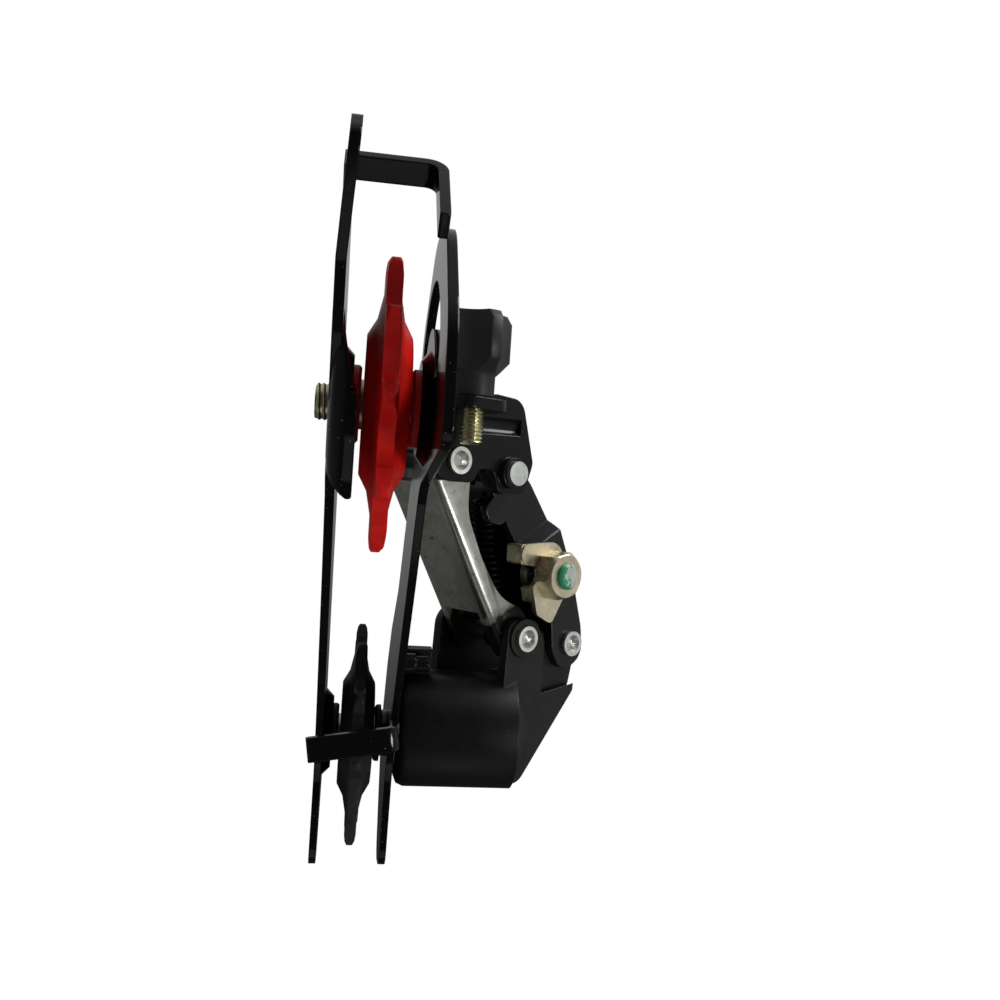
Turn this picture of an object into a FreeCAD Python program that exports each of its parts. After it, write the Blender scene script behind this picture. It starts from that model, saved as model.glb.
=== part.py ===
import FreeCAD, Part
import math
import os

os.makedirs("parts", exist_ok=True)
Vec = FreeCAD.Vector

# Attitude on the bicycle: X forward, Y inboard, Z up, origin on the hanger bolt at the hanger's outer face
mech_tilt = 28.0
slant = 34.0

# Hanger bolt and the boss it clamps
hanger_thread_r = 4.95
hanger_thread_len = 9.0
shoulder_r = 5.6
boss_r = 9.5
boss_len = 11.0
bolt_flange_r = 8.0
bolt_head_r = 6.2
bolt_key = 5.0

# Parallelogram: first pivot's near end seen from the hanger bolt, then the link and pivot spacing
pivot_fore = -38.8
pivot_rise = -7.6
pivot_out = 7.35
link_len = 45.8
link_lean = 30.9
pivot_gap = 15.1
pivot_gap_drop = 6.8

# Pivot pins and the layers stacked along them, measured away from the near pin ends
pin_r = 2.2
pin_head_r = 2.95
pin_head_h = 0.9
proud_head_r = 2.7
proud_head_h = 2.3
pin_collar_r = 3.5
pin_collar_h = 1.9
rivet_dish_r = 2.1
rivet_dish_d = 1.5
groove_r = 2.05
groove_d = 1.2
press_gap = 0.02
run_gap = 0.05
side_gap = 0.3
plate_t = 3.0
far_plate_t = 2.5
channel_w = 18.0
link_t = 1.5
outer_t = 2.0
near_front = pin_head_h
near_back = near_front + plate_t
link_front = near_back + side_gap
link_back = link_front + channel_w
far_front = link_back + side_gap
far_back = far_front + far_plate_t
pin_end = far_back + 0.5
ear_r = 4.6
web_in = 5.5
web_out = 9.0

# Chain wheels
chain_pitch = 12.7
teeth = 11
roller_r = 3.9
tooth_t = 2.4
wheel_tip_r = 23.6
wheel_ring_t = 4.2
wheel_ring_r = 13.4
wheel_boss_r = 10.9
wheel_boss_w = 7.0
pitch_r = chain_pitch / 2 / math.sin(math.pi / teeth)

# Cage
wheel_span = 92.0
guide_back = 9.5
guide_up = 0.7
cage_inset = 9.1
cage_angle = 46.16
cage_t = 1.5
gap_out = 6.5
gap_in = 6.9
lip_r = 26.1
lip_reach = 4.1
slot_in_r = 12.6
slot_out_r = 20.0
slot_high = 20.0
slot_low = -94.0
tip_reach = 45.2
fold_reach = 29.5
guard_reach = 31.8
guard_w = 3.7
seat_half = 5.15
bush_r = 3.9
wheel_bolt_r = 2.7
cap_r = 6.1
cap_t = 1.25

# Cage pivot barrel, placed from the lower inner pivot
barrel_ahead = 5.65
barrel_drop = 22.2
barrel_r = 13.2
barrel_reach = 28.75
barrel_len = 26.7
barrel_soft = 2.2
barrel_cap_r = 4.7
barrel_cap_h = 3.6
axle_r = 6.0
axle_len = 21.0
stop_r = 2.3
stop_reach = 16.7
stop_angle = 111.0

# Cable adjuster, its axis set off in front of the bracket face
adj_x = -0.7
adj_front = 3.35
adj_low = 3.4
seat_low = 10.6
seat_t = 2.5
screw_r = 2.5
neck_r = 4.3
neck_h = 4.4
knob_r = 7.8
knob_h = 13.2
flute_r = 6.4
flute_off = 11.0
ferrule_r = 3.05
ferrule_depth = 7.0

# Cable clamp on the outer link
clamp_x = 29.1
clamp_y = -24.4
clamp_bolt_r = 3.0
clamp_nut_flats = 10.0
clamp_nut_h = 5.0
clamp_plate_t = 1.4

# Return spring
spring_depth = 11.2
coil_r = 2.9
spring_wire = 1.1

tilt = math.radians(mech_tilt)
out = Vec(0, -1, 0)
rise = Vec(-math.sin(tilt), 0, math.cos(tilt))
away = Vec(math.cos(tilt), 0, math.sin(tilt))
turn = math.radians(slant)
across = out * math.cos(turn) + away * math.sin(turn)
near = out * math.sin(turn) - away * math.cos(turn)


def frame(origin, x, y, z):
    top = (x.x, y.x, z.x, origin.x)
    mid = (x.y, y.y, z.y, origin.y)
    low = (x.z, y.z, z.z, origin.z)
    return FreeCAD.Placement(FreeCAD.Matrix(*top, *mid, *low, 0, 0, 0, 1))


def side_point(fore, up, outboard):
    return away * fore + rise * up + out * outboard


# Side frame has x away, y up, z outboard; pin frame has z along the pins; cage frame lies in the plates
side = frame(Vec(0, 0, 0), away, rise, out)
pins = frame(side_point(pivot_fore, pivot_rise, pivot_out), across, rise, near)
lean = math.radians(link_lean)
gap_drop = math.radians(pivot_gap_drop)
link_dir = Vec(math.sin(lean), -math.cos(lean), 0)
link_side = Vec(math.cos(lean), math.sin(lean), 0)
b_in = Vec(0, 0, 0)
b_out = Vec(pivot_gap * math.cos(gap_drop), -pivot_gap * math.sin(gap_drop), 0)
p_in = b_in + link_dir * link_len
p_out = b_out + link_dir * link_len

knee = side.inverse().multVec(pins.multVec(p_in))
barrel_fore = knee.x + barrel_ahead
barrel_rise = knee.y - barrel_drop
barrel_in = knee.z - barrel_reach
guide_fore = barrel_fore - guide_back
guide_rise = barrel_rise + guide_up
cage_out = barrel_in - cage_inset
run = math.radians(cage_angle)
cage_x = away * -math.cos(run) + rise * math.sin(run)
cage_y = out.cross(cage_x)
cage = frame(side_point(guide_fore, guide_rise, cage_out), cage_x, cage_y, out)


def outline(corners):
    pts = [Vec(c[0], c[1], 0) for c in corners]
    edges = []
    spans = []
    count = len(pts)
    for i in range(count):
        here = pts[i]
        back = pts[i - 1] - here
        ahead = pts[(i + 1) % count] - here
        half = back.getAngle(ahead) / 2
        limit = 0.49 * min(back.Length, ahead.Length)
        reach = min(corners[i][2] / math.tan(half), limit)
        radius = reach * math.tan(half)
        back.normalize()
        ahead.normalize()
        start = here + back * reach
        stop = here + ahead * reach
        middle = back + ahead
        middle.normalize()
        crown = here + middle * (radius / math.sin(half) - radius)
        spans.append((start, crown, stop, reach))
    for i in range(count):
        start, crown, stop, reach = spans[i]
        if reach > 0.01:
            edges.append(Part.Arc(start, crown, stop).toShape())
        following = spans[(i + 1) % count][0]
        if (following - stop).Length > 1e-4:
            edges.append(Part.makeLine(stop, following))
    return Part.Face(Part.Wire(Part.__sortEdges__(edges)))


def slab(corners, low, high):
    face = outline(corners)
    face.translate(Vec(0, 0, low))
    return face.extrude(Vec(0, 0, high - low))


def layer(corners, front, back):
    return slab(corners, -back, -front)


def rod(radius, x, y, low, high):
    return Part.makeCylinder(radius, high - low, Vec(x, y, low), Vec(0, 0, 1))


def pin_rod(radius, at, front, back):
    return rod(radius, at.x, at.y, -back, -front)


def lathe(profile):
    pts = [Vec(r, 0, z) for r, z in profile]
    face = Part.Face(Part.makePolygon(pts + [pts[0]]))
    return face.revolve(Vec(0, 0, 0), Vec(0, 0, 1), 360)


def hexagon(flats, low, high):
    corner = flats / math.sqrt(3)
    turns = [math.radians(60 * i) for i in range(6)]
    return slab([(corner * math.cos(a), corner * math.sin(a), 0) for a in turns], low, high)


def fuse(first, *others):
    shape = first
    for other in others:
        shape = shape.fuse(other)
    return shape.removeSplitter()


def cut(shape, *tools):
    for tool in tools:
        shape = shape.cut(tool)
    return shape


def on_link(base, along, sideways):
    return base + link_dir * along + link_side * sideways


def link_outline(base, corners):
    spots = [(on_link(base, s, t), r) for s, t, r in corners]
    return [(p.x, p.y, r) for p, r in spots]


def save(name, shape, place):
    body = shape.copy()
    body.Placement = place.multiply(body.Placement)
    body.exportStep("parts/" + name + ".step")


# Bracket: clevis plates, roof, adjuster seat, neck and the hanger boss
def bracket_plate():
    low = -ear_r
    right = b_out.x + ear_r + 2.5
    toe = b_out.y + low
    face = [(-6.4, low, 4.5), (4.2, low, 2.5), (6.2, -1.3, 2), (10.2, -1.3, 2), (12, toe - 0.2, 2)]
    face += [(right - 2.4, toe - 0.2, 3.5), (right, 0.8, 3), (17.8, 14.8, 4), (9.2, 15.4, 2)]
    face += [(6.5, 13.1, 1), (-3.4, 13.1, 2.5), (-6.8, 4, 3)]
    plate = layer(face, near_front, near_back)
    above = groove_r - groove_d - near_front
    groove = Part.makeCylinder(groove_r, 11.4, Vec(6.2, 8.2, above), Vec(1, 0.03, 0))
    collar = pin_rod(pin_collar_r, b_out, near_front - pin_collar_h, near_back)
    plate = fuse(plate.cut(groove), collar)
    return plate.cut(pin_rod(proud_head_r + press_gap, b_out, -10, near_front))


def bracket_far():
    low = -ear_r
    right = b_out.x + ear_r
    face = [(-5, low, 4), (4.5, low, 3), (6.5, 0.6, 2), (10.5, 0.6, 2), (12, b_out.y + low, 3)]
    face += [(right, b_out.y + low, 4), (right, 4, 3), (15, 13.1, 3), (-5, 13.1, 3)]
    return layer(face, far_front, far_back)


def bracket():
    beam = [(-3.4, 9.6, 1), (15.4, 9.6, 1), (15.4, 13.1, 1.2), (-3.4, 13.1, 1.2)]
    roof = layer(beam, near_back - 1, far_front + 1)
    lip = adj_front + 4.6
    seat_face = [(-6.6, -near_back, 1), (6.5, -near_back, 1), (6.5, lip, 3.5), (-6.6, lip, 3.5)]
    seat = slab(seat_face, -seat_low - seat_t, -seat_low)
    seat.rotate(Vec(0, 0, 0), Vec(1, 0, 0), 90)
    screw_hole = Part.makeCylinder(screw_r + run_gap, 30, Vec(adj_x, 0, adj_front), Vec(0, 1, 0))
    body = fuse(bracket_plate(), bracket_far(), roof, seat.cut(screw_hole))
    body = cut(body, pin_rod(pin_r + press_gap, b_in, -1, 40), pin_rod(pin_r + press_gap, b_out, -1, 40))
    body.Placement = side.inverse().multiply(pins)
    rise_mid = pivot_rise + 11.3
    neck_face = [(-24, rise_mid - 3.4, 1), (-3, 3 - boss_r, 3), (-3, boss_r - 3, 3), (-24, rise_mid + 1.8, 1)]
    neck = slab(neck_face, 0.6, boss_len - 0.6)
    boss = rod(boss_r, 0, 0, 0, boss_len)
    body = fuse(body, neck, boss)
    return body.cut(rod(shoulder_r + run_gap, 0, 0, -1, boss_len + 1))


def hanger_bolt():
    tip = hanger_thread_len
    top = boss_len
    shank = [(0, -tip), (hanger_thread_r - 0.8, -tip), (hanger_thread_r, -tip + 0.8), (hanger_thread_r, 0)]
    shank += [(shoulder_r, 0), (shoulder_r, top)]
    head = [(bolt_flange_r, top), (bolt_flange_r, top + 1.6), (bolt_head_r, top + 2.4)]
    crown = [(bolt_head_r, top + 5), (bolt_head_r - 0.8, top + 5.8), (0, top + 5.8)]
    return lathe(shank + head + crown).cut(hexagon(bolt_key, top + 1.8, top + 7))


# Inner link: a pressed channel whose web faces the wheel
def inner_link():
    waist = -1.0
    sidewall = [(-ear_r, -web_in, 1.5), (-ear_r, ear_r, 4.4), (ear_r, ear_r, 4), (13, waist + 0.6, 12)]
    sidewall += [(24, waist - 0.2, 20), (35, waist + 0.6, 12), (link_len - ear_r, ear_r, 4)]
    sidewall += [(link_len + ear_r, ear_r, 4.4), (link_len + ear_r, -web_in, 4.2)]
    solid = layer(link_outline(b_in, sidewall), link_front, link_back)
    bend = 2.0
    outer_u = [(-web_in, link_front, bend), (12, link_front, 0)]
    outer_u += [(12, link_back, 0), (-web_in, link_back, bend)]
    inner_u = [(-web_in + link_t, link_front + link_t, 0.7), (20, link_front + link_t, 0)]
    inner_u += [(20, link_back - link_t, 0), (-web_in + link_t, link_back - link_t, 0.7)]
    section = outline(outer_u).cut(outline(inner_u))
    channel = section.extrude(Vec(0, 0, link_len + 40))
    channel.Placement = frame(link_dir * (link_len + 20), link_side, Vec(0, 0, -1), link_dir * -1)
    link = solid.common(channel)
    mouth = [(link_len - 9.5, -web_in - 2, 0), (link_len + 9, -web_in - 2, 0)]
    mouth += [(link_len + 9, -web_in + link_t + 0.6, 0), (link_len - 9.5, -web_in + link_t + 0.6, 0)]
    link = link.cut(layer(link_outline(b_in, mouth), link_front + 3, link_back - 3))
    crest = [(-9, -web_in - 2, 0), (2.5, -web_in - 2, 0)]
    crest += [(2.5, -web_in + link_t + 0.6, 0), (-9, -web_in + link_t + 0.6, 0)]
    link = link.cut(layer(link_outline(b_in, crest), link_front + 3, link_back - 3))
    return cut(link, pin_rod(pin_r + run_gap, b_in, 0, 40), pin_rod(pin_r + run_gap, p_in, 0, 40))


# Outer link: stepped near flange, bowed web, far flange and the stop tongue
def outer_link():
    step_from = 17.0
    step_to = 19.5
    ear_front = near_front + 0.15
    ear_back = near_back - 0.8
    upper_back = link_front + outer_t
    profile = [(-20, link_front, 0), (step_from, link_front, 0), (step_to, ear_front, 0), (70, ear_front, 0)]
    profile += [(70, ear_back, 0), (step_to, ear_back, 0), (step_from, upper_back, 0), (-20, upper_back, 0)]
    sheet = outline(profile).extrude(Vec(0, 0, 60))
    sheet.Placement = frame(b_out - link_side * 30, link_dir, Vec(0, 0, -1), link_side)
    heel = link_len + 5
    rim = [(link_len - 1.8, web_out - 4, 8), (36, web_out - 2.2, 10), (28, web_out - 0.8, 8)]
    rim += [(19, web_out, 10), (7, web_out - 1.4, 6), (-ear_r, ear_r, 4.5)]
    side_face = [(-ear_r, -ear_r, 4.5), (14, 1.8 - ear_r, 12), (28, 1.8 - ear_r, 6), (34, -1.4, 5)]
    side_face += [(link_len - 1.8, -6, 5), (heel, -5.6, 4.8), (heel, 2.2, 4.8)] + rim
    near_flange = layer(link_outline(b_out, side_face), 0, 12).common(sheet)
    far_face = [(-ear_r, -ear_r, 4.5), (link_len + ear_r, -ear_r, 4.5), (link_len + ear_r, 2.6, 4.4)] + rim
    far_flange = layer(link_outline(b_out, far_face), link_back - outer_t, link_back)
    strip = [(8.5, web_out - 3.2, 1), (19, web_out - 1.9, 8), (28, web_out - 2.7, 8)]
    strip += [(40, web_out - 4.9, 1), (40, 20, 0), (8.5, 20, 0)]
    shell = layer(link_outline(b_out, far_face), ear_back - 0.4, link_back - 0.4)
    web = shell.common(layer(link_outline(b_out, strip), 0, link_back + 5))
    ahead = [(0, 0, 0), (step_to + 0.5, 0, 0), (step_to + 0.5, 20, 0), (0, 20, 0)]
    upper_web = web.cut(layer(link_outline(b_out, ahead), 0, link_front + 0.4))
    tongue = [(21.4, -4.4, 2), (23.4, -8, 2), (16.6, -13.6, 2.2), (13, -13.2, 2.2)]
    tongue += [(11.4, -10, 1.5), (14.5, -6.4, 2)]
    lug = layer(tongue, link_front, link_front + outer_t)
    link = fuse(near_flange, far_flange, upper_web, lug)
    clamp_hole = rod(clamp_bolt_r + run_gap, clamp_x, clamp_y, -8, 4)
    upper_hole = pin_rod(pin_r + run_gap, b_out, 0, 40)
    return cut(link, upper_hole, pin_rod(pin_r + run_gap, p_out, 0, 40), clamp_hole)


# Knuckle: spring barrel, raised ear, stepped ear, wedge body and far lugs
def knuckle():
    x = p_in.x
    y = p_in.y
    front = near_front + 0.8
    ear = [(x - 4.7, y + 4.2, 3), (x + 3.6, y + 4.2, 3), (x + 7, y - 1, 2), (x + 7, y - 12, 1)]
    ear += [(x + 5, y - 21, 1), (x - 5.6, y - 21, 1), (x - 5.2, y - 8, 3)]
    raised = fuse(layer(ear, front, near_back), pin_rod(4.5, p_in, near_front, near_back))
    back = near_back - 0.5
    low_ear = [(x + 3.5, y - 14.7, 1), (x + 4.5, p_out.y + 1, 3), (x + 10.5, p_out.y + 4.2, 3.5)]
    low_ear += [(p_out.x + 4, p_out.y + 4.2, 4.2), (p_out.x + 3.6, y - 7, 3), (p_out.x + 2.6, y - 11.7, 1)]
    low_ear += [(p_out.x + 1.4, y - 14.7, 1)]
    lowered = layer(low_ear, back, back + plate_t)
    corner = p_out.x + 2.8
    wedge_face = [(x - 5.6, y - 12.4, 1.5), (x + 4.5, y - 12.2, 1), (corner, y - 10.2, 1.2)]
    wedge_face += [(corner - 0.2, y - 13.4, 1.5), (x + 1.2, y - 33.5, 4), (x - 6.5, y - 33.5, 3)]
    wedge = layer(wedge_face, front, far_back - 3)
    bevel = Part.makeBox(30, 4, 4, Vec(0, 0, -2))
    bevel.rotate(Vec(0, 0, 0), Vec(1, 0, 0), -35)
    bevel.rotate(Vec(0, 0, 0), Vec(0, 0, 1), math.degrees(math.atan2(2, corner - x - 4.5)))
    bevel.translate(Vec(x + 4.5, y - 13.6, -front))
    wedge = wedge.cut(bevel)
    far_face = [(x - 7.4, y + 5.6, 5), (x + 4.8, y + 4.8, 4.5), (x + 7.5, y - 4.7, 2)]
    far_face += [(x + 11, p_out.y + 4.7, 3.5), (p_out.x + 4.6, p_out.y + 4.7, 4.5)]
    far_face += [(p_out.x + 2, y - 16.7, 4), (x + 6.5, y - 24.7, 4), (x - 8.6, y - 22.7, 3)]
    lugs = layer(far_face, far_front, far_back)
    rear = [(x - 4.5, y - 11.3, 1), (x + 16.5, y - 11.3, 1), (x + 12.5, y - 20.7, 2), (x - 4.5, y - 22.7, 2)]
    wall = layer(rear, far_back - 4, far_back)
    body = fuse(raised, lowered, wedge, lugs, wall)
    body = cut(body, pin_rod(pin_r + press_gap, p_in, -1, 40), pin_rod(pin_r + press_gap, p_out, -1, 40))
    body.Placement = side.inverse().multiply(pins)
    end = barrel_in + barrel_len
    clear = Part.makeBox(120, 200, 60, Vec(barrel_fore - 60, barrel_rise - 100, barrel_in + 6 - 60))
    body = body.cut(clear)
    skin = barrel_r - 0.3 * barrel_soft
    shape = [(0, barrel_in), (barrel_r - barrel_soft, barrel_in), (skin, barrel_in + 0.3 * barrel_soft)]
    shape += [(barrel_r, barrel_in + barrel_soft), (barrel_r, end)]
    barrel = lathe(shape + [(barrel_cap_r, end + barrel_cap_h), (0, end + barrel_cap_h)])
    barrel.translate(Vec(barrel_fore, barrel_rise, 0))
    lug_turn = stop_angle - math.degrees(math.asin((stop_r + 0.35) / stop_reach)) - 5.2
    stop_lug = Part.makeBox(6.6, 3.0, 7.0, Vec(barrel_r - 1.0, -1.5, barrel_in))
    stop_lug.rotate(Vec(0, 0, 0), Vec(0, 0, 1), lug_turn)
    stop_lug.translate(Vec(barrel_fore, barrel_rise, 0))
    body = fuse(body, barrel, stop_lug)
    bore = rod(axle_r + run_gap, barrel_fore, barrel_rise, barrel_in - 1, barrel_in + axle_len + 0.6)
    return body.cut(bore)


# Pivot pins: three are hollow headed rivets and one is a solid pin that stands proud
def hollow_rivet(at):
    head = pin_rod(pin_head_r, at, 0, pin_head_h)
    pin = fuse(head, pin_rod(pin_r, at, pin_head_h - 0.2, pin_end))
    floor = pin_r - 1.0
    flare = (rivet_dish_r - floor) / rivet_dish_d
    dish = Part.makeCone(floor, rivet_dish_r + flare, rivet_dish_d + 1, at - Vec(0, 0, rivet_dish_d))
    return pin.cut(dish)


def solid_pin(at):
    head = pin_rod(proud_head_r, at, -proud_head_h, pin_head_h)
    return fuse(head, pin_rod(pin_r, at, pin_head_h - 0.2, pin_end))


# Return spring body between two eyes that loop the opposite pivot pins
def return_spring():
    line = p_in - b_out
    reach = line.Length
    line.normalize()
    depth = Vec(0, 0, -spring_depth)
    body = Part.makeCylinder(coil_r, reach - 13, b_out + line * 6.5 + depth, line)
    body = body.cut(Part.makeCylinder(coil_r - spring_wire, reach - 12, b_out + line * 6 + depth, line))
    parts = []
    for at, way in ((b_out, line), (p_in, line * -1)):
        front = spring_depth - spring_wire / 2
        eye = pin_rod(pin_r + 0.35 + spring_wire, at, front, front + spring_wire)
        eye = eye.cut(pin_rod(pin_r + 0.35, at, front - 1, front + spring_wire + 1))
        tail = Part.makeBox(4.6, coil_r * 2 - 0.4, spring_wire)
        tail.translate(Vec(pin_r + 0.6, -coil_r + 0.2, -spring_wire / 2))
        tail.rotate(Vec(0, 0, 0), Vec(0, 0, 1), math.degrees(math.atan2(way.y, way.x)))
        tail.translate(at + depth)
        parts += [eye, tail]
    return fuse(body, *parts)


# Cable clamp
def clamp_front():
    return near_front + 0.15


def clamp_plate():
    front = clamp_front() - clamp_plate_t
    face = [(19.4, -17.6, 3.2), (30.5, -16.8, 4), (35.2, -22.5, 4), (34, -29.5, 2), (30.2, -36, 1.2)]
    face += [(25.4, -33.8, 1.2), (23.4, -27.4, 1.2), (25.2, -25.2, 0.8), (24.8, -22.6, 0.8), (19.6, -22.2, 2)]
    plate = layer(face, front, clamp_front())
    claw = [(19.4, -17.6, 0.6), (19.6, -22.2, 0.6), (21, -22.2, 0.4), (20.8, -17.6, 0.4)]
    foot = [(23.5, -27.6, 0.4), (24.6, -31.2, 0.4), (26, -30.8, 0.4), (24.9, -27.2, 0.4)]
    blades = fuse(plate, layer(claw, front + 0.4, front + 5.2), layer(foot, front + 0.4, front + 4.2))
    return blades.cut(rod(clamp_bolt_r + press_gap, clamp_x, clamp_y, -8, 8))


def clamp_nut():
    low = clamp_plate_t - clamp_front()
    nut = hexagon(clamp_nut_flats, low, low + clamp_nut_h)
    corner = clamp_nut_flats / math.sqrt(3)
    top = low + clamp_nut_h
    base = [(0, low - 1), (corner + 1, low - 1)]
    dome = lathe(base + [(corner + 1, top - 1.6), (corner - 0.9, top), (0, top)])
    nut = nut.common(dome).cut(rod(clamp_bolt_r + press_gap, 0, 0, low - 1, top + 1))
    nut.rotate(Vec(0, 0, 0), Vec(0, 0, 1), 12)
    nut.translate(Vec(clamp_x, clamp_y, 0))
    return nut


def clamp_bolt():
    seat = near_back - 0.8
    top = clamp_plate_t - clamp_front() + clamp_nut_h + 1.2
    shape = [(0, -seat - 2.2), (4.6, -seat - 2.2), (4.6, -seat), (clamp_bolt_r, -seat)]
    shape += [(clamp_bolt_r, top - 0.5), (clamp_bolt_r - 0.5, top), (0, top)]
    bolt = lathe(shape)
    bolt.translate(Vec(clamp_x, clamp_y, 0))
    return bolt


# Cable adjuster: threaded sleeve with a fluted knob
def adjuster_place(shape):
    shape.rotate(Vec(0, 0, 0), Vec(1, 0, 0), -90)
    shape.translate(Vec(adj_x, 0, adj_front))
    return shape


def adjuster_screw():
    top = seat_low + seat_t + 6
    shape = [(1.1, adj_low), (screw_r - 0.4, adj_low), (screw_r, adj_low + 0.4), (screw_r, top), (1.1, top)]
    return adjuster_place(lathe(shape))


def adjuster_knob():
    low = seat_low + seat_t + side_gap
    shoulder = low + neck_h
    top = shoulder + knob_h
    shape = [(screw_r + press_gap, low), (neck_r, low), (neck_r, shoulder), (knob_r, shoulder + 3.4)]
    shape += [(knob_r, top - 1.6), (knob_r - 1.4, top), (ferrule_r, top), (ferrule_r, top - ferrule_depth)]
    shape += [(1.4, top - ferrule_depth), (1.4, low + 6), (screw_r + press_gap, low + 6)]
    knob = lathe(shape)
    for i in range(4):
        angle = math.radians(36 + 90 * i)
        x = flute_off * math.cos(angle)
        y = flute_off * math.sin(angle)
        knob = knob.cut(rod(flute_r, x, y, shoulder + 0.4, top + 1))
    return adjuster_place(knob)


# Chain wheel: toothed disc with tapered teeth on a coned hub
def tooth_outline():
    edges = []
    step = 2 * math.pi / teeth
    bite = math.radians(62)
    for i in range(teeth):
        base = i * step

        def at(x, y):
            return Vec(x * math.cos(base) - y * math.sin(base), x * math.sin(base) + y * math.cos(base), 0)

        seat_x = pitch_r - roller_r * math.cos(bite)
        seat_y = roller_r * math.sin(bite)
        tip_turn = step / 2 - math.asin(1.15 / wheel_tip_r)
        corner = wheel_tip_r - 0.6
        left = at(seat_x, -seat_y)
        right = at(seat_x, seat_y)
        edges.append(Part.Arc(left, at(pitch_r - roller_r, 0), right).toShape())
        shoulder = at(corner * math.cos(tip_turn), corner * math.sin(tip_turn))
        crown = at(wheel_tip_r * math.cos(step / 2), wheel_tip_r * math.sin(step / 2))
        other = at(corner * math.cos(step - tip_turn), corner * math.sin(step - tip_turn))
        c = math.cos(step)
        k = math.sin(step)
        following = at(c * seat_x + k * seat_y, k * seat_x - c * seat_y)
        edges.append(Part.makeLine(right, shoulder))
        edges.append(Part.Arc(shoulder, crown, other).toShape())
        edges.append(Part.makeLine(other, following))
    return Part.Face(Part.Wire(Part.__sortEdges__(edges)))


def chain_wheel():
    disc = tooth_outline().extrude(Vec(0, 0, tooth_t))
    disc.translate(Vec(0, 0, -tooth_t / 2))
    tip = wheel_tip_r + 0.2
    half = tooth_t / 2
    crown = [(tip - 2.2, half), (tip - 1.0, half * 0.85), (tip - 0.3, half * 0.55), (tip, half * 0.2)]
    below = [(r, -z) for r, z in crown]
    lens = lathe([(0, -tooth_t)] + below + crown[::-1] + [(0, tooth_t)])
    half = wheel_boss_w / 2
    ring = wheel_ring_t / 2
    hub = [(0, -half), (wheel_boss_r, -half), (wheel_ring_r, -ring), (18.2, -tooth_t / 2 + 0.1)]
    hub += [(18.2, tooth_t / 2 - 0.1), (wheel_ring_r, ring), (wheel_boss_r, half), (0, half)]
    wheel = fuse(disc.common(lens), lathe(hub))
    return wheel.cut(rod(bush_r + run_gap, 0, 0, -20, 20))


def wheel_bush():
    half = seat_half - cap_t
    return rod(bush_r, 0, 0, -half, half).cut(rod(wheel_bolt_r + run_gap, 0, 0, -20, 20))


def wheel_caps():
    lip = seat_half - cap_t
    cap = lathe([(wheel_bolt_r + run_gap, lip), (cap_r - 0.4, lip), (cap_r, lip + 0.4), (cap_r, seat_half),
                 (wheel_bolt_r + run_gap, seat_half)])
    mirror = cap.mirror(Vec(0, 0, 0), Vec(0, 0, 1))
    return Part.Compound([cap, mirror])


def tension_bolt():
    head = seat_half + cage_t
    tip = -gap_in - cage_t - 2.4
    shape = [(0, tip), (wheel_bolt_r - 0.5, tip), (wheel_bolt_r, tip + 0.5), (wheel_bolt_r, head)]
    shape += [(4.4, head), (4.4, head + 2), (3.6, head + 2.8), (0, head + 2.8)]
    return lathe(shape).cut(hexagon(3.0, head + 0.8, head + 4))


def guide_bolt():
    low = -seat_half - cage_t
    high = gap_out + cage_t - 0.1
    head = [(0, low - 1), (4.6, low - 1), (4.6, low)]
    return lathe(head + [(wheel_bolt_r, low), (wheel_bolt_r, high), (0, high)])


# Cage plates: pressed seats at the wheels, with the guard on one plate and the keeper on the other
def pressed_seat(x, face, inward):
    flat = seat_half
    hole = wheel_bolt_r + run_gap
    profile = [(hole, flat + cage_t), (7.0, flat + cage_t), (8.8, face + cage_t), (10.2, face + cage_t)]
    profile += [(10.2, face), (9.4, face), (7.6, flat), (hole, flat)]
    seat = lathe(profile)
    if inward:
        seat = seat.mirror(Vec(0, 0, 0), Vec(0, 0, 1))
    seat.translate(Vec(x, 0, 0))
    return seat


def lower_lobe():
    return [(-26.8, 15.6, 6.5), (-16, 23.2, 5.5), (2, 10.5, 14)]


# The inner plate leans in beyond its bend, and curls a lip round the tension wheel
def wheel_lip(back):
    end = back + lip_reach
    profile = [(lip_r - 8, back), (lip_r - 4, back), (lip_r - 1.8, back + 0.4), (lip_r - 0.6, back + 1.1)]
    profile += [(lip_r, back + 2.4), (lip_r, end), (lip_r - cage_t, end), (lip_r - cage_t, back + 2.6)]
    profile += [(lip_r - 2.4, back + cage_t + 0.4), (lip_r - 4, back + cage_t), (lip_r - 8, back + cage_t)]
    ring = lathe(profile)
    ring.translate(Vec(wheel_span - 0.8, -8.1, 0))
    w = wheel_span
    keep = [(w + 0.2, back, 3), (w + 20, back, 0), (w + 19, back + cage_t, 1)]
    keep += [(w + 12, end, 2), (w - 4.4, end, 0.6)]
    prism = outline(keep).extrude(Vec(0, 0, 40))
    prism.Placement = frame(Vec(0, 40, 0), Vec(1, 0, 0), Vec(0, 0, 1), Vec(0, -1, 0))
    return ring.common(prism)


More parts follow.
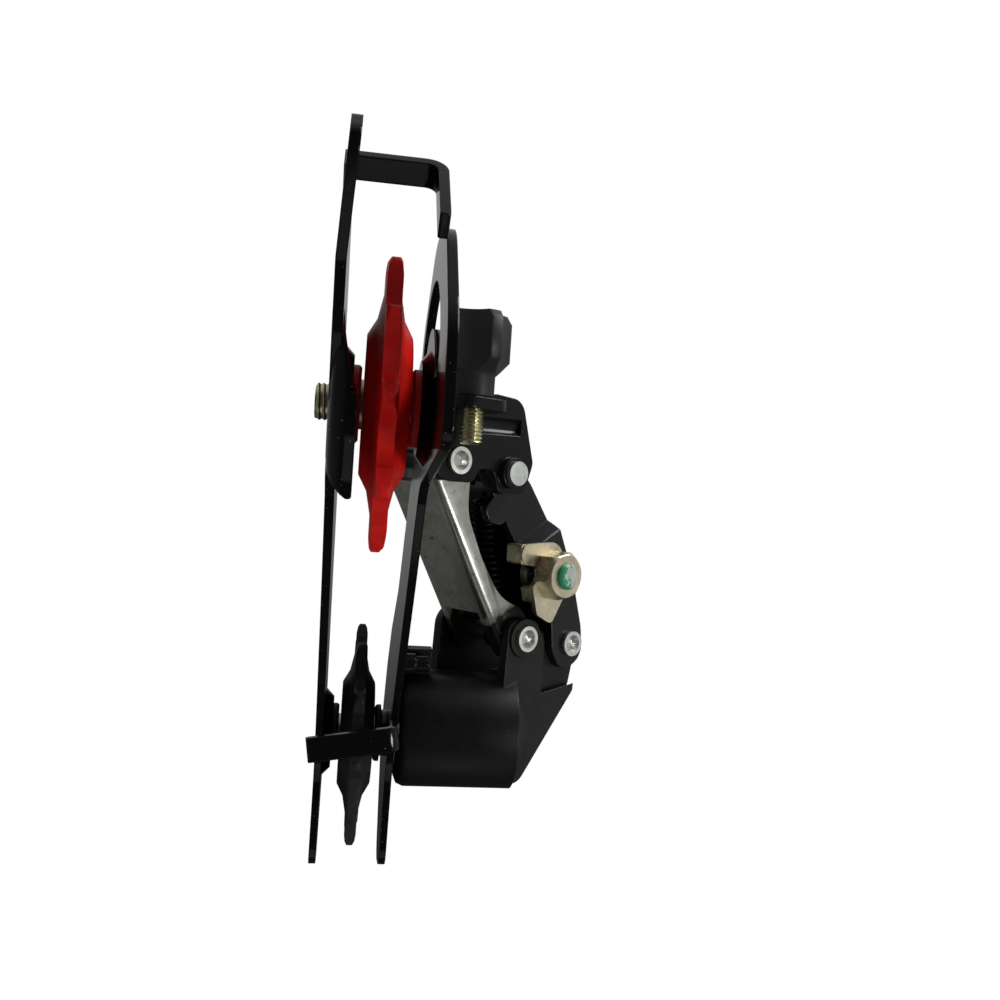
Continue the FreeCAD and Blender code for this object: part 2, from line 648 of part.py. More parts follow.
def inner_plate():
    w = wheel_span
    tip = w + tip_reach
    face = lower_lobe() + [(25, 9.2, 14), (w - 30, 9.2, 18), (w - 10, 10.5, 6), (w - 4.5, 12.6, 3)]
    face += [(w + 6.8, 12.2, 14), (w + 19.4, 9.2, 8), (w + 29, 6.4, 10), (w + 38, 4.6, 12), (tip, 3.2, 3)]
    face += [(tip, -3, 3), (w + 38, -7.6, 5), (w + 35.2, -10.8, 1.2), (w + 8, -15, 12), (w - 12, -13.5, 10)]
    face += [(w - 30, -11, 14), (20, -11, 12), (0, -12.8, 9), (-16, -11, 9)]
    back = -gap_in - cage_t
    fold = w + fold_reach
    end = tip + 20
    far_z = 0.065 * (end - fold)
    bend = [(-60, back, 0), (fold, back, 0), (end, back + far_z, 0)]
    bend += [(end, far_z - gap_in, 0), (fold, -gap_in, 0), (-60, -gap_in, 0)]
    sheet = outline(bend).extrude(Vec(0, 0, 120))
    sheet.rotate(Vec(0, 0, 0), Vec(1, 0, 0), 90)
    sheet.translate(Vec(0, 60, 0))
    plate = slab(face, back - 2, 0).common(sheet)
    plate = cut(plate, rod(10, 0, 0, -20, 20), rod(10, w, 0, -20, 20))
    guard_p = w + guard_reach
    guard_q = -10.8
    root_z = back + 0.065 * (guard_p - fold)
    far_end = gap_out - 0.2
    tab = [(guard_q - cage_t, root_z, 1.2), (guard_q - cage_t, far_end, 3.2), (3.0, far_end, 0.4)]
    tab += [(3.0, far_end - cage_t, 0.4), (guard_q, far_end - cage_t, 1.7), (guard_q, root_z, 0)]
    guard = outline(tab).extrude(Vec(0, 0, guard_w))
    guard.Placement = frame(Vec(guard_p, 0, 0), Vec(0, 1, 0), Vec(0, 0, 1), Vec(1, 0, 0))
    stem = [(guard_p, guard_q - cage_t, 0), (guard_p + guard_w, guard_q - cage_t, 0)]
    stem += [(guard_p + guard_w, guard_q + 3, 0), (guard_p, guard_q + 3, 0)]
    root = slab(stem, root_z, root_z + cage_t)
    seats = [pressed_seat(0, gap_in, True), pressed_seat(w, gap_in, True)]
    return fuse(plate, wheel_lip(back), *seats, guard, root)


def pivot_in_cage():
    fore = barrel_fore - guide_fore
    up = barrel_rise - guide_rise
    return Vec(-math.cos(run) * fore + math.sin(run) * up, -math.sin(run) * fore - math.cos(run) * up, 0)


def stop_in_cage():
    turn_at = math.radians(stop_angle)
    fore = stop_reach * math.cos(turn_at)
    up = stop_reach * math.sin(turn_at)
    shift = Vec(-math.cos(run) * fore + math.sin(run) * up, -math.sin(run) * fore - math.cos(run) * up, 0)
    return pivot_in_cage() + shift


def keeper():
    width = 4.8
    tab_fore = -26.1
    tab_up = 5.0
    outer = gap_out + cage_t
    reach = outer + gap_in + cage_t + 1.5
    bend = [(0, outer - reach, 0.6), (0, outer, 2.4), (6, outer, 0), (6, gap_out, 0)]
    bend += [(cage_t, gap_out, 0.9), (cage_t, outer - reach, 0.6)]
    tab = outline(bend).extrude(Vec(0, 0, width))
    tab.Placement = frame(Vec(0, width / 2, 0), Vec(1, 0, 0), Vec(0, 0, 1), Vec(0, -1, 0))
    tab.rotate(Vec(0, 0, outer), Vec(1, 0, 0), -9)
    arm = Part.makeBox(23, width, cage_t, Vec(3, -width / 2, gap_out))
    part = fuse(tab, arm)
    part.translate(Vec(tab_fore, tab_up, 0))
    level = frame(Vec(0, 0, 0), Vec(-math.cos(run), -math.sin(run), 0),
                  Vec(math.sin(run), -math.cos(run), 0), Vec(0, 0, 1))
    part.Placement = level.multiply(part.Placement)
    return part


# Curved slot round the tension wheel's axle
def curved_slot():
    mid = (slot_in_r + slot_out_r) / 2
    round_r = (slot_out_r - slot_in_r) / 2
    ring = rod(slot_out_r, wheel_span, 0, 0, 20).cut(rod(slot_in_r, wheel_span, 0, -1, 21))
    high = math.radians(slot_high)
    low = math.radians(slot_low)
    far = slot_out_r * 3
    wedge = [(wheel_span, 0, 0), (wheel_span + far * math.cos(low), far * math.sin(low), 0)]
    wedge += [(wheel_span + far, -far, 0), (wheel_span + far * math.cos(high), far * math.sin(high), 0)]
    ends = [rod(round_r, wheel_span + mid * math.cos(a), mid * math.sin(a), 0, 20) for a in (high, low)]
    return fuse(ring.common(slab(wedge, -1, 21)), *ends)


def outer_plate():
    w = wheel_span
    face = lower_lobe() + [(25, 8.2, 14), (w - 34, 6.6, 20), (w - 12, 4.8, 10), (w + 17.5, 28.4, 3.5)]
    face += [(w + 27.5, 15, 16), (w + 29.4, -6, 14), (w + 18.5, -19, 14), (w - 4, -24, 14)]
    face += [(w - 22, -14, 18), (34, -12.5, 14), (14, -18, 6), (0, -18.5, 7), (-20, -14.5, 10)]
    plate = slab(face, gap_out, gap_out + cage_t)
    plate = cut(plate, curved_slot(), rod(10, wheel_span, 0, -20, 20))
    collar = rod(5, 0, 0, seat_half, gap_out)
    plate = fuse(plate, pressed_seat(wheel_span, gap_out, False), collar, keeper())
    at = pivot_in_cage()
    stop = stop_in_cage()
    holes = [rod(wheel_bolt_r + run_gap, 0, 0, 0, 20), rod(4 + press_gap, at.x, at.y, 0, 20)]
    return cut(plate, *holes, rod(1.7 + press_gap, stop.x, stop.y, 0, 20))


def cage_axle():
    at = pivot_in_cage()
    face = gap_out + cage_t
    mouth = barrel_in - cage_out
    end = mouth + axle_len
    shape = [(0, gap_out), (4, gap_out), (4, face), (9.5, face), (9.5, mouth - side_gap)]
    shape += [(axle_r, mouth - side_gap), (axle_r, end - 0.6), (axle_r - 0.6, end), (0, end)]
    axle = lathe(shape)
    axle.translate(at)
    return axle


def stop_pin():
    stop = stop_in_cage()
    face = gap_out + cage_t
    neck = stop_r - 0.5
    shape = [(0, gap_out), (1.7, gap_out), (1.7, face), (stop_r, face), (stop_r, face + 4.2)]
    shape += [(neck, face + 4.4), (neck, face + 7.2), (neck - 0.4, face + 7.6), (0, face + 7.6)]
    pin = lathe(shape)
    pin.translate(stop)
    return pin


far_wheel = cage.multiply(FreeCAD.Placement(Vec(wheel_span, 0, 0), FreeCAD.Rotation()))
save("bracket", bracket(), side)
save("hanger_bolt", hanger_bolt(), side)
save("inner_link", inner_link(), pins)
save("outer_link", outer_link(), pins)
save("knuckle", knuckle(), side)
save("upper_inner_rivet", hollow_rivet(b_in), pins)
save("upper_outer_pin", solid_pin(b_out), pins)
save("lower_inner_rivet", hollow_rivet(p_in), pins)
save("lower_outer_rivet", hollow_rivet(p_out), pins)
save("return_spring", return_spring(), pins)
save("clamp_plate", clamp_plate(), pins)
save("clamp_nut", clamp_nut(), pins)
save("clamp_bolt", clamp_bolt(), pins)
save("adjuster_screw", adjuster_screw(), pins)
save("adjuster_knob", adjuster_knob(), pins)
save("guide_wheel", chain_wheel(), cage)
save("tension_wheel", chain_wheel(), far_wheel)
save("guide_bush", wheel_bush(), cage)
save("tension_bush", wheel_bush(), far_wheel)
save("guide_caps", wheel_caps(), cage)
save("tension_caps", wheel_caps(), far_wheel)
save("guide_bolt", guide_bolt(), cage)
save("tension_bolt", tension_bolt(), far_wheel)
save("inner_plate", inner_plate(), cage)
save("outer_plate", outer_plate(), cage)
save("cage_axle", cage_axle(), cage)
save("stop_pin", stop_pin(), cage)
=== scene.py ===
import math
import bpy
from mathutils import Matrix, Vector


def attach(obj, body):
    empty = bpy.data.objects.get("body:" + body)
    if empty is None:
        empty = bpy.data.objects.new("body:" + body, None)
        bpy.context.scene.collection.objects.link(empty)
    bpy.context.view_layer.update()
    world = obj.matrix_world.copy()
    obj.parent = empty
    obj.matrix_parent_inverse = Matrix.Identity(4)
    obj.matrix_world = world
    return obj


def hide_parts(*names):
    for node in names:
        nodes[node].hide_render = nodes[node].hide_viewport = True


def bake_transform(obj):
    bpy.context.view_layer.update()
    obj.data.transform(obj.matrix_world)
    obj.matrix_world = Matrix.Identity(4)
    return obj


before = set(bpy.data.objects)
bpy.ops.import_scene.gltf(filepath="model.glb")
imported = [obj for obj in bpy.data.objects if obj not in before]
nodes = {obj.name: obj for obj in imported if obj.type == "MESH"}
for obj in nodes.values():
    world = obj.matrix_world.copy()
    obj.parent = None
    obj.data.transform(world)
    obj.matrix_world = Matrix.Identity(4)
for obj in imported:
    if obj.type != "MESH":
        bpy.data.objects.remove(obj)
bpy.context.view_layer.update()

scene = bpy.context.scene

MM_PER_M = 1000

# The part's own axes, as in the solids: outboard, up along the mechanism and away from the viewer,
# and the slanted axes of the parallelogram: across its face and out of it toward the viewer
tilt = math.radians(28)
slant = math.radians(34)
out = Vector((0, -1, 0))
rise = Vector((-math.sin(tilt), 0, math.cos(tilt)))
away = Vector((math.cos(tilt), 0, math.sin(tilt)))
across = out * math.cos(slant) + away * math.sin(slant)
near = out * math.sin(slant) - away * math.cos(slant)


def side(fore, up, outboard):
    """Point given in mm along the part's own axes."""
    return (away * fore + rise * up + out * outboard) / MM_PER_M


pin_origin = side(-38.8, -7.6, 7.35)
pin_plane = pin_origin.dot(near)


def pin(x, y, z):
    """Point given in mm from the upper inner pivot, along the parallelogram's axes."""
    return pin_origin + (across * x + rise * y + near * z) / MM_PER_M


# The upper outer and lower inner pivots, in mm in the parallelogram's face
link_length = 45.8
link_lean = math.radians(30.9)
pivot_gap = 15.1
pivot_drop = math.radians(6.8)
upper = Vector((pivot_gap * math.cos(pivot_drop), -pivot_gap * math.sin(pivot_drop)))
lower = Vector((link_length * math.sin(link_lean), -link_length * math.cos(link_lean)))


# Materials
class Shader:
    """A principled material made of noise in the object's own coordinates."""

    def __init__(self, name):
        self.mat = bpy.data.materials.new(name)
        self.mat.use_nodes = True
        self.tree = self.mat.node_tree
        self.tree.nodes.clear()
        self.out = self.add("ShaderNodeOutputMaterial")
        self.bsdf = self.add("ShaderNodeBsdfPrincipled")
        self.link(self.bsdf.outputs[0], self.out.inputs[0])
        self.coord = self.add("ShaderNodeTexCoord").outputs["Object"]
        self.normal = None

    def add(self, kind):
        return self.tree.nodes.new(kind)

    def link(self, a, b):
        self.tree.links.new(a, b)

    def put(self, socket, value):
        if hasattr(value, "is_linked"):
            self.link(value, socket)
        else:
            socket.default_value = value

    def noise(self, scale, detail=3.0, rough=0.5):
        n = self.add("ShaderNodeTexNoise")
        n.inputs["Scale"].default_value = scale
        n.inputs["Detail"].default_value = detail
        n.inputs["Roughness"].default_value = rough
        self.link(self.coord, n.inputs["Vector"])
        return n.outputs["Fac"]

    def ramp(self, value, low, high, to_low=0.0, to_high=1.0):
        m = self.add("ShaderNodeMapRange")
        self.link(value, m.inputs["Value"])
        m.inputs["From Min"].default_value = low
        m.inputs["From Max"].default_value = high
        m.inputs["To Min"].default_value = to_low
        m.inputs["To Max"].default_value = to_high
        return m.outputs[0]

    def math(self, op, a, b):
        m = self.add("ShaderNodeMath")
        m.operation = op
        self.put(m.inputs[0], a)
        self.put(m.inputs[1], b)
        return m.outputs[0]

    def mix(self, fac, a, b):
        m = self.add("ShaderNodeMix")
        m.data_type = "RGBA"
        self.put(m.inputs[0], fac)
        for socket, value in ((m.inputs[6], a), (m.inputs[7], b)):
            self.put(socket, (*value, 1.0) if isinstance(value, tuple) else value)
        return m.outputs[2]

    def along(self, direction):
        d = self.add("ShaderNodeVectorMath")
        d.operation = "DOT_PRODUCT"
        self.link(self.coord, d.inputs[0])
        d.inputs[1].default_value = tuple(direction)
        return d.outputs["Value"]

    def soften(self, radius, samples):
        edge = self.add("ShaderNodeBevel")
        edge.samples = samples
        edge.inputs["Radius"].default_value = radius
        self.normal = edge.outputs[0]

    def bump(self, height, distance, strength=1.0):
        b = self.add("ShaderNodeBump")
        b.inputs["Strength"].default_value = strength
        b.inputs["Distance"].default_value = distance
        self.link(height, b.inputs["Height"])
        if self.normal:
            self.link(self.normal, b.inputs["Normal"])
        self.normal = b.outputs[0]
        self.link(self.normal, self.bsdf.inputs["Normal"])

    def finish(self, colour, rough, metal=0.0, spec=0.5):
        b = self.bsdf
        self.put(b.inputs["Base Color"], colour)
        self.put(b.inputs["Roughness"], rough)
        self.put(b.inputs["Metallic"], metal)
        self.put(b.inputs["Specular IOR Level"], spec)
        return self.mat


def black(name, base, rough, grain, depth, spec, dust=0.0):
    """Black paint or resin with uneven gloss, and specks of dust in patches."""
    s = Shader(name)
    wear = s.noise(90, 4, 0.6)
    dark = tuple(base * k for k in (0.85, 0.85, 0.88))
    pale = tuple(base * k for k in (1.35, 1.33, 1.3))
    tone = s.mix(s.ramp(wear, 0.3, 0.75), dark, pale)
    if dust:
        specks = s.ramp(s.noise(2600, 1, 0.5), 0.745, 0.775)
        patch = s.ramp(s.noise(160, 3, 0.6), 0.45, 0.7)
        cover = s.math("MULTIPLY", s.math("MULTIPLY", specks, patch), dust)
        tone = s.mix(cover, tone, (0.32, 0.32, 0.31))
    s.soften(radius=0.0004, samples=6)
    s.bump(s.noise(grain, 2, 0.5), depth)
    return s.finish(tone, s.ramp(wear, 0.25, 0.8, rough * 0.8, rough * 1.3), spec=spec)


def steel(name, colour, rough, grain):
    s = Shader(name)
    streak = s.noise(grain, 4, 0.6)
    cloud = s.noise(120, 4, 0.65)
    dark = tuple(c * 0.72 for c in colour)
    tone = s.mix(s.ramp(streak, 0.3, 0.75), dark, colour)
    s.bump(streak, 0.00002, 0.5)
    return s.finish(tone, s.ramp(cloud, 0.3, 0.7, rough * 0.75, rough * 1.35), metal=1.0)


def pivot_steel():
    """Bright rivet heads; below them the shanks carry painted shade, a near-black colour that is not
    metallic.
    """
    s = Shader("pivot_steel")
    cloud = s.noise(120, 4, 0.65)
    streak = s.noise(700, 4, 0.6)
    tone = s.mix(s.ramp(streak, 0.3, 0.75), (0.64, 0.66, 0.62), (0.86, 0.89, 0.83))
    # Painted shade: below the heads the shanks are coloured near-black and lose their metal.
    under_head = pin_plane - 0.0015
    outside_painted_shade = s.ramp(s.along(near), under_head - 0.0002, under_head + 0.0002)
    tone = s.mix(outside_painted_shade, (0.012, 0.013, 0.010), tone)
    return s.finish(tone, s.ramp(cloud, 0.3, 0.7, 0.24, 0.43), metal=outside_painted_shade, spec=0.2)


def link_with_shade_and_grease():
    """Dull plating with stains; toward the lower end a painted shade, near-black, with yellow-green grease
    patches in it.
    """
    s = Shader("bright_link")
    streak = s.noise(300, 4, 0.6)
    cloud = s.noise(120, 4, 0.65)
    tone = s.mix(s.ramp(streak, 0.3, 0.75), (0.32, 0.33, 0.29), (0.47, 0.48, 0.43))
    spots = s.ramp(s.noise(520, 5, 0.7), 0.58, 0.7)
    stain = s.math("MULTIPLY", spots, s.ramp(cloud, 0.4, 0.6))
    tone = s.mix(stain, tone, (0.10, 0.095, 0.08))
    # Painted shade over the lower end of the link: near-black and not metallic, with patches of real grease
    # colour in it.
    down = across * math.sin(link_lean) - rise * math.cos(link_lean)
    top = pin_origin.dot(down)
    ragged = s.math("ADD", s.along(down), s.math("MULTIPLY", s.noise(200, 3, 0.6), 0.006))
    shade_and_grease = s.ramp(ragged, top + 0.0395, top + 0.0425)
    grease = s.ramp(s.noise(420, 3, 0.6), 0.60, 0.70)
    tone = s.mix(shade_and_grease, tone, s.mix(grease, (0.004, 0.005, 0.003), (0.04, 0.05, 0.006)))
    s.bump(streak, 0.00002, 0.5)
    outside_painted_shade = s.math("SUBTRACT", 1.0, shade_and_grease)
    return s.finish(tone, s.ramp(cloud, 0.3, 0.7, 0.27, 0.38), metal=outside_painted_shade, spec=0.2)


def locked_thread():
    """Clamp bolt with green thread lock on one half of its end."""
    s = Shader("locked_thread")
    streak = s.noise(700, 4, 0.6)
    tone = s.mix(s.ramp(streak, 0.3, 0.75), (0.6, 0.6, 0.56), (0.84, 0.85, 0.82))
    middle = pin(29.1, -24.4, 0).dot(across)
    half = s.ramp(s.along(across), middle + 0.0022, middle - 0.0022, -0.22, 0.2)
    blob = s.ramp(s.math("ADD", s.noise(420, 3, 0.6), half), 0.47, 0.53)
    at_end = s.ramp(s.along(near), pin_plane + 0.0045, pin_plane + 0.0050)
    blob = s.math("MULTIPLY", blob, at_end)
    tone = s.mix(blob, tone, (0.012, 0.16, 0.075))
    s.bump(s.noise(500, 3, 0.5), 0.00006)
    return s.finish(tone, s.ramp(blob, 0, 1, 0.28, 0.36), metal=s.ramp(blob, 0, 1, 1.0, 0.0))


def red_plastic():
    s = Shader("red_plastic")
    cloud = s.noise(140, 4, 0.6)
    tone = s.mix(s.ramp(cloud, 0.3, 0.7), (0.36, 0.004, 0.003), (0.46, 0.008, 0.006))
    scuff = s.ramp(s.noise(900, 3, 0.6), 0.66, 0.8)
    tone = s.mix(s.math("MULTIPLY", scuff, 0.25), tone, (0.50, 0.08, 0.06))
    s.bump(s.noise(1500, 2, 0.5), 0.00001)
    return s.finish(tone, s.ramp(cloud, 0.3, 0.7, 0.3, 0.42), spec=0.1)


paint = black("cage_paint", 0.0025, 0.09, 500, 0.000004, spec=0.22, dust=0.8)
body_paint = black("body_paint", 0.004, 0.2, 900, 0.000008, spec=0.2, dust=0.35)
link_paint = black("link_paint", 0.006, 0.2, 900, 0.000008, spec=0.3, dust=0.35)
resin = black("resin", 0.003, 0.42, 2600, 0.000012, spec=0.25, dust=0.3)
knob_resin = black("knob_resin", 0.014, 0.45, 1800, 0.00001, spec=0.2)
wheel_resin = black("wheel_resin", 0.014, 0.45, 1500, 0.00001, spec=0.12, dust=0.3)
# The spring's black is darker than the other blacks: painted shade for its place between the links.
spring_shaded_black = black("spring_shaded_black", 0.001, 0.4, 900, 0.000004, spec=0.08)
rivet_steel = steel("rivet_steel", (0.86, 0.89, 0.83), 0.32, 700)
plate_steel = steel("plated_steel", (0.80, 0.72, 0.52), 0.3, 600)
yellow_steel = steel("yellow_steel", (0.66, 0.63, 0.40), 0.32, 900)
red = red_plastic()
pivot = pivot_steel()

looks = {
    "bracket": body_paint, "hanger_bolt": body_paint, "stop_pin": body_paint, "guide_bolt": body_paint,
    "inner_link": link_with_shade_and_grease(), "outer_link": link_paint, "knuckle": resin,
    "upper_inner_rivet": pivot, "upper_outer_pin": pivot,
    "lower_inner_rivet": pivot, "lower_outer_rivet": pivot,
    "return_spring": spring_shaded_black,
    "clamp_plate": plate_steel, "clamp_nut": plate_steel, "clamp_bolt": locked_thread(),
    "adjuster_screw": yellow_steel, "adjuster_knob": knob_resin,
    "guide_wheel": wheel_resin, "guide_caps": wheel_resin,
    "tension_wheel": red, "tension_caps": red, "tension_bolt": plate_steel,
    "guide_bush": rivet_steel, "tension_bush": rivet_steel, "cage_axle": rivet_steel,
    "inner_plate": paint, "outer_plate": paint,
}
for name, node in nodes.items():
    node.data.materials.clear()
    node.data.materials.append(looks[name])


# Shapes that the solids leave out
def new_mesh(name, verts, faces, material, smooth):
    mesh = bpy.data.meshes.new(name)
    mesh.from_pydata([tuple(v) for v in verts], [], faces)
    mesh.validate()
    for face in mesh.polygons:
        face.use_smooth = smooth
    mesh.materials.append(material)
    obj = bpy.data.objects.new(name, mesh)
    scene.collection.objects.link(obj)
    return obj


def wall(rows, sides):
    """Quads between successive rings of vertices."""
    faces = []
    for i in range(rows):
        for k in range(sides):
            a = i * sides + k
            b = i * sides + (k + 1) % sides
            faces.append((a, b, b + sides, a + sides))
    return faces


def tube(name, path, radius, material, sides):
    verts = []
    count = len(path)
    ref = Vector((0.31, 0.52, 0.79))
    for i, p in enumerate(path):
        tangent = path[min(i + 1, count - 1)] - path[max(i - 1, 0)]
        tangent.normalize()
        u = ref - tangent * ref.dot(tangent)
        u.normalize()
        ref = u
        v = tangent.cross(u)
        for k in range(sides):
            a = 2 * math.pi * k / sides
            verts.append(p + (u * math.cos(a) + v * math.sin(a)) * radius)
    faces = wall(count - 1, sides)
    faces.append(tuple(range(sides))[::-1])
    faces.append(tuple((count - 1) * sides + k for k in range(sides)))
    return new_mesh(name, verts, faces, material, smooth=True)


def thread(name, origin, axis, u, low, high, radius, pitch, groove, bore, material):
    """Threaded sleeve from low to high along its axis, in mm, with run-out at both ends."""
    sides = 32
    rows_per_turn = 6
    lead_in = 0.5
    lead_out = 0.3
    least_at_tip = 0.05
    run_out = 0.35
    v = axis.cross(u)
    rows = int((high - low) / pitch * rows_per_turn)

    def rim(z, k, r):
        a = 2 * math.pi * k / sides
        return origin + (axis * z + (u * math.cos(a) + v * math.sin(a)) * r) / MM_PER_M

    verts = []
    for i in range(rows + 1):
        z = low + (high - low) * i / rows
        full = min(1.0, (z - low) / lead_in, (high - z) / lead_out + least_at_tip)
        for k in range(sides):
            phase = (z / pitch - k / sides) % 1.0
            verts.append(rim(z, k, radius - groove * (1 - abs(2 * phase - 1)) - run_out * (1 - full)))
    faces = wall(rows, sides)
    last_row = rows * sides
    low_bore = len(verts)
    high_bore = low_bore + sides
    for z in (low, high):
        verts += [rim(z, k, bore) for k in range(sides)]
    for k in range(sides):
        n = (k + 1) % sides
        faces.append((n, k, low_bore + k, low_bore + n))
        faces.append((last_row + k, last_row + n, high_bore + n, high_bore + k))
        faces.append((low_bore + k, high_bore + k, high_bore + n, low_bore + n))
    return new_mesh(name, verts, faces, material, smooth=False)


def prism(name, corners, shallow, deep, material):
    """Block with corners in mm along and beside the link from its upper pivot, behind the pins' face."""
    down_link = Vector((math.sin(link_lean), -math.cos(link_lean)))
    beside = Vector((math.cos(link_lean), math.sin(link_lean)))
    spots = [upper + down_link * s + beside * t for s, t in corners]
    verts = [pin(p.x, p.y, -w) for w in (shallow, deep) for p in spots]
    n = len(corners)
    faces = [tuple(range(n))[::-1], tuple(range(n, 2 * n))] + wall(1, n)
    return new_mesh(name, verts, faces, material, smooth=False)


# Coils of the return spring, hooked round two opposite pivots
line = lower - upper
reach = line.length
line.normalize()
spring_level = -11.2
wire_radius = 0.55
coil_radius = 2.3
coil_turns = 17
steps_per_turn = 20
plain_end = 6.5
eye_radius = 3.1
eye_angles = [math.radians(-140 + 20 * i) for i in range(15)]


def spring_point(s, sideways, lift):
    x = upper.x + line.x * s - line.y * sideways
    y = upper.y + line.y * s + line.x * sideways
    return pin(x, y, spring_level + lift)


path = [spring_point(-eye_radius * math.cos(a), eye_radius * math.sin(a), 0) for a in eye_angles]
first = plain_end
last = reach - plain_end
steps = coil_turns * steps_per_turn
for i in range(steps + 1):
    t = i / steps
    a = 2 * math.pi * coil_turns * t + math.pi / 2
    at = first + (last - first) * t
    path.append(spring_point(at, coil_radius * math.sin(a), coil_radius * math.cos(a)))
for a in reversed(eye_angles):
    path.append(spring_point(reach + eye_radius * math.cos(a), eye_radius * math.sin(a), 0))
coil = tube("spring_coil", path, wire_radius / MM_PER_M, spring_shaded_black, sides=8)
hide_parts("return_spring")
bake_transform(coil)

# Adjuster screw, M5 with a bore for the cable
screw = thread("adjuster_thread", pin(-0.7, 0, 3.35), rise, across, low=3.4, high=19.1,
               radius=2.49, pitch=0.8, groove=0.42, bore=1.1, material=yellow_steel)
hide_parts("adjuster_screw")
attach(screw, "adjuster")

# Threaded tip of the tension wheel's bolt, standing out of the inner plate
cage_run = math.radians(46.16)
wheel_span = 0.092
guide_at = side(-29.5, -68.4, -11)
wheel_at = guide_at + (rise * math.sin(cage_run) - away * math.cos(cage_run)) * wheel_span
tip = thread("tension_bolt_thread", wheel_at, -out, rise, low=6.9, high=10.75,
             radius=2.95, pitch=0.8, groove=0.33, bore=2.5, material=yellow_steel)
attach(tip, "cage")

# Lower end of the outer link's web, which closes the view past the cable clamp
web_corners = [(38.5, 4.45), (38.5, 5.4), (45.0, 4.0), (45.0, 2.8)]
web_end = prism("outer_link_web_end", web_corners, shallow=8, deep=21.5, material=link_paint)
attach(web_end, "outer_link")

# Softened edges, in mm. The solids' faces come apart from each other, so they are joined first.
soft_edges = {
    "bracket": 0.45, "knuckle": 0.6, "outer_link": 0.35, "inner_link": 0.25, "clamp_plate": 0.35,
    "inner_plate": 0.4, "outer_plate": 0.4, "tension_wheel": 0.35, "guide_wheel": 0.35, "adjuster_knob": 0.3,
}
join_within = 0.000150
sharp_from = math.radians(50)
for name, width in soft_edges.items():
    weld = nodes[name].modifiers.new("join_faces", "WELD")
    weld.merge_threshold = join_within
    bevel = nodes[name].modifiers.new("soft_edge", "BEVEL")
    bevel.width = width / MM_PER_M
    bevel.segments = 3
    bevel.limit_method = "ANGLE"
    bevel.angle_limit = sharp_from
    bevel.use_clamp_overlap = True

# Pale floor, far below so that the cage doesn't mirror it
floor_size = 1.0
floor_level = -1.6
floor_glow = 0.55
bpy.ops.mesh.primitive_plane_add(size=floor_size, location=(0, 0, floor_level))
floor = bpy.context.object
floor.name = "floor"
pale = Shader("floor_pale")
pale.finish(pale.mix(pale.noise(3), (0.78, 0.78, 0.78), (0.82, 0.82, 0.82)), 0.9, spec=0.1)
shine = pale.add("ShaderNodeEmission")
ray = pale.add("ShaderNodeLightPath")
pale.link(pale.math("MULTIPLY", ray.outputs["Is Camera Ray"], floor_glow), shine.inputs["Strength"])
both = pale.add("ShaderNodeAddShader")
pale.link(pale.bsdf.outputs[0], both.inputs[0])
pale.link(shine.outputs[0], both.inputs[1])
pale.link(both.outputs[0], pale.out.inputs[0])
floor.data.materials.append(pale.mat)

# World: white to the camera, even to diffuse rays, graded in reflections
world = bpy.data.worlds.new("world")
scene.world = world
world.use_nodes = True
tree = world.node_tree
tree.nodes.clear()
output = tree.nodes.new("ShaderNodeOutputWorld")
coord = tree.nodes.new("ShaderNodeTexCoord")
rays = tree.nodes.new("ShaderNodeLightPath")


def feed(socket, value):
    if isinstance(value, float):
        socket.default_value = value
    else:
        tree.links.new(value, socket)


def background(strength):
    node = tree.nodes.new("ShaderNodeBackground")
    node.inputs["Color"].default_value = (1, 1, 1, 1)
    feed(node.inputs["Strength"], strength)
    return node.outputs[0]


def total(a, b):
    plus = tree.nodes.new("ShaderNodeMath")
    plus.operation = "ADD"
    feed(plus.inputs[0], a)
    feed(plus.inputs[1], b)
    return plus.outputs[0]


def choose(fac, a, b):
    mixer = tree.nodes.new("ShaderNodeMixShader")
    for socket, value in zip(mixer.inputs, (fac, a, b)):
        tree.links.new(value, socket)
    return mixer.outputs[0]


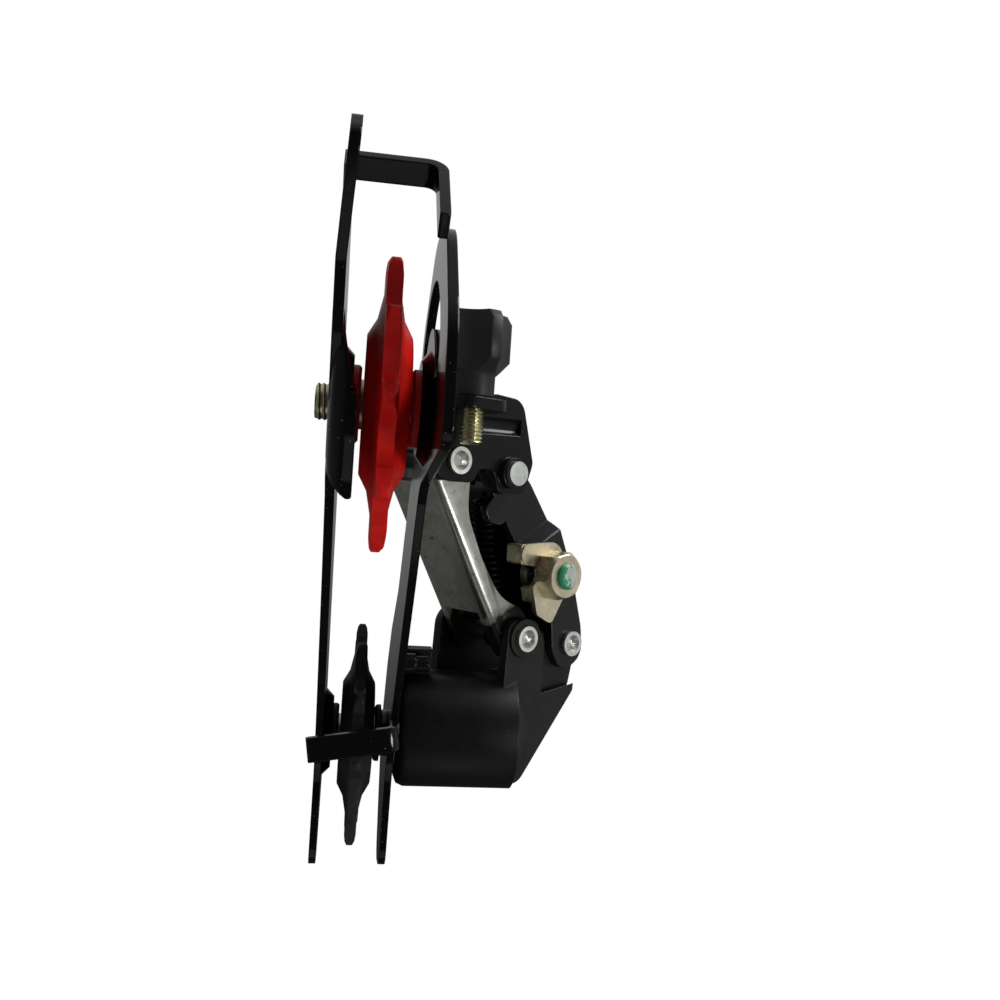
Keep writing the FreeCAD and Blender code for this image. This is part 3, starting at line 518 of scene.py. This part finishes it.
def glow(direction, low, high, strength):
    dot = tree.nodes.new("ShaderNodeVectorMath")
    dot.operation = "DOT_PRODUCT"
    dot.inputs[1].default_value = tuple(direction.normalized())
    tree.links.new(coord.outputs["Generated"], dot.inputs[0])
    grade = tree.nodes.new("ShaderNodeMapRange")
    grade.interpolation_type = "SMOOTHSTEP"
    grade.inputs["From Min"].default_value = low
    grade.inputs["From Max"].default_value = high
    grade.inputs["To Min"].default_value = 0.0
    grade.inputs["To Max"].default_value = strength
    tree.links.new(dot.outputs["Value"], grade.inputs["Value"])
    return grade.outputs[0]


# What reflections show of the backdrop: bright above, dim below, with soft light from both sides
least = 0.03
ambient = 0.6
white = 1.0
mirrored = total(glow(rise + away * 0.6, 0.22, 0.85, 0.42), glow(out + rise * 0.1, 0.5, 0.98, 0.4))
mirrored = total(total(mirrored, glow(-out, 0.2, 0.9, 0.14)), least)
shown = total(rays.outputs["Is Glossy Ray"], rays.outputs["Is Transmission Ray"])
sky = choose(shown, background(ambient), background(mirrored))
sky = choose(rays.outputs["Is Camera Ray"], sky, background(white))
tree.links.new(sky, output.inputs[0])

# Camera as in the photograph
ahead = out * 0.146 + away * 0.989
ahead.normalize()
right = out * 0.987 + rise * 0.066 - away * 0.146
right = right - ahead * right.dot(ahead)
right.normalize()
up = right.cross(ahead)
cam_data = bpy.data.cameras.new("camera")
cam_data.sensor_width = 36
cam_data.lens = 36
cam_data.clip_start = 0.005
cam_data.clip_end = 50
cam = bpy.data.objects.new("camera", cam_data)
scene.collection.objects.link(cam)
view = Matrix((right, up, -ahead)).transposed().to_4x4()
view.translation = side(-251, -15.5, -15.15)
cam.matrix_world = view
scene.camera = cam

# Lamps, placed in metres from the middle of the part as the camera sees it
middle = Vector((-0.03, -0.01, -0.045))


def area(name, at_right, at_up, at_back, size, power):
    data = bpy.data.lights.new(name, "AREA")
    data.shape = "SQUARE"
    data.size = size
    data.energy = power
    obj = bpy.data.objects.new(name, data)
    scene.collection.objects.link(obj)
    obj.location = middle + right * at_right + up * at_up - ahead * at_back
    obj.rotation_mode = "QUATERNION"
    obj.rotation_quaternion = (middle - obj.location).to_track_quat("-Z", "Y")


area("key", at_right=0.40, at_up=0.40, at_back=-0.05, size=0.26, power=2.6)
area("front", at_right=0.34, at_up=-0.12, at_back=0.24, size=0.09, power=0.8)

scene.view_settings.view_transform = "Standard"
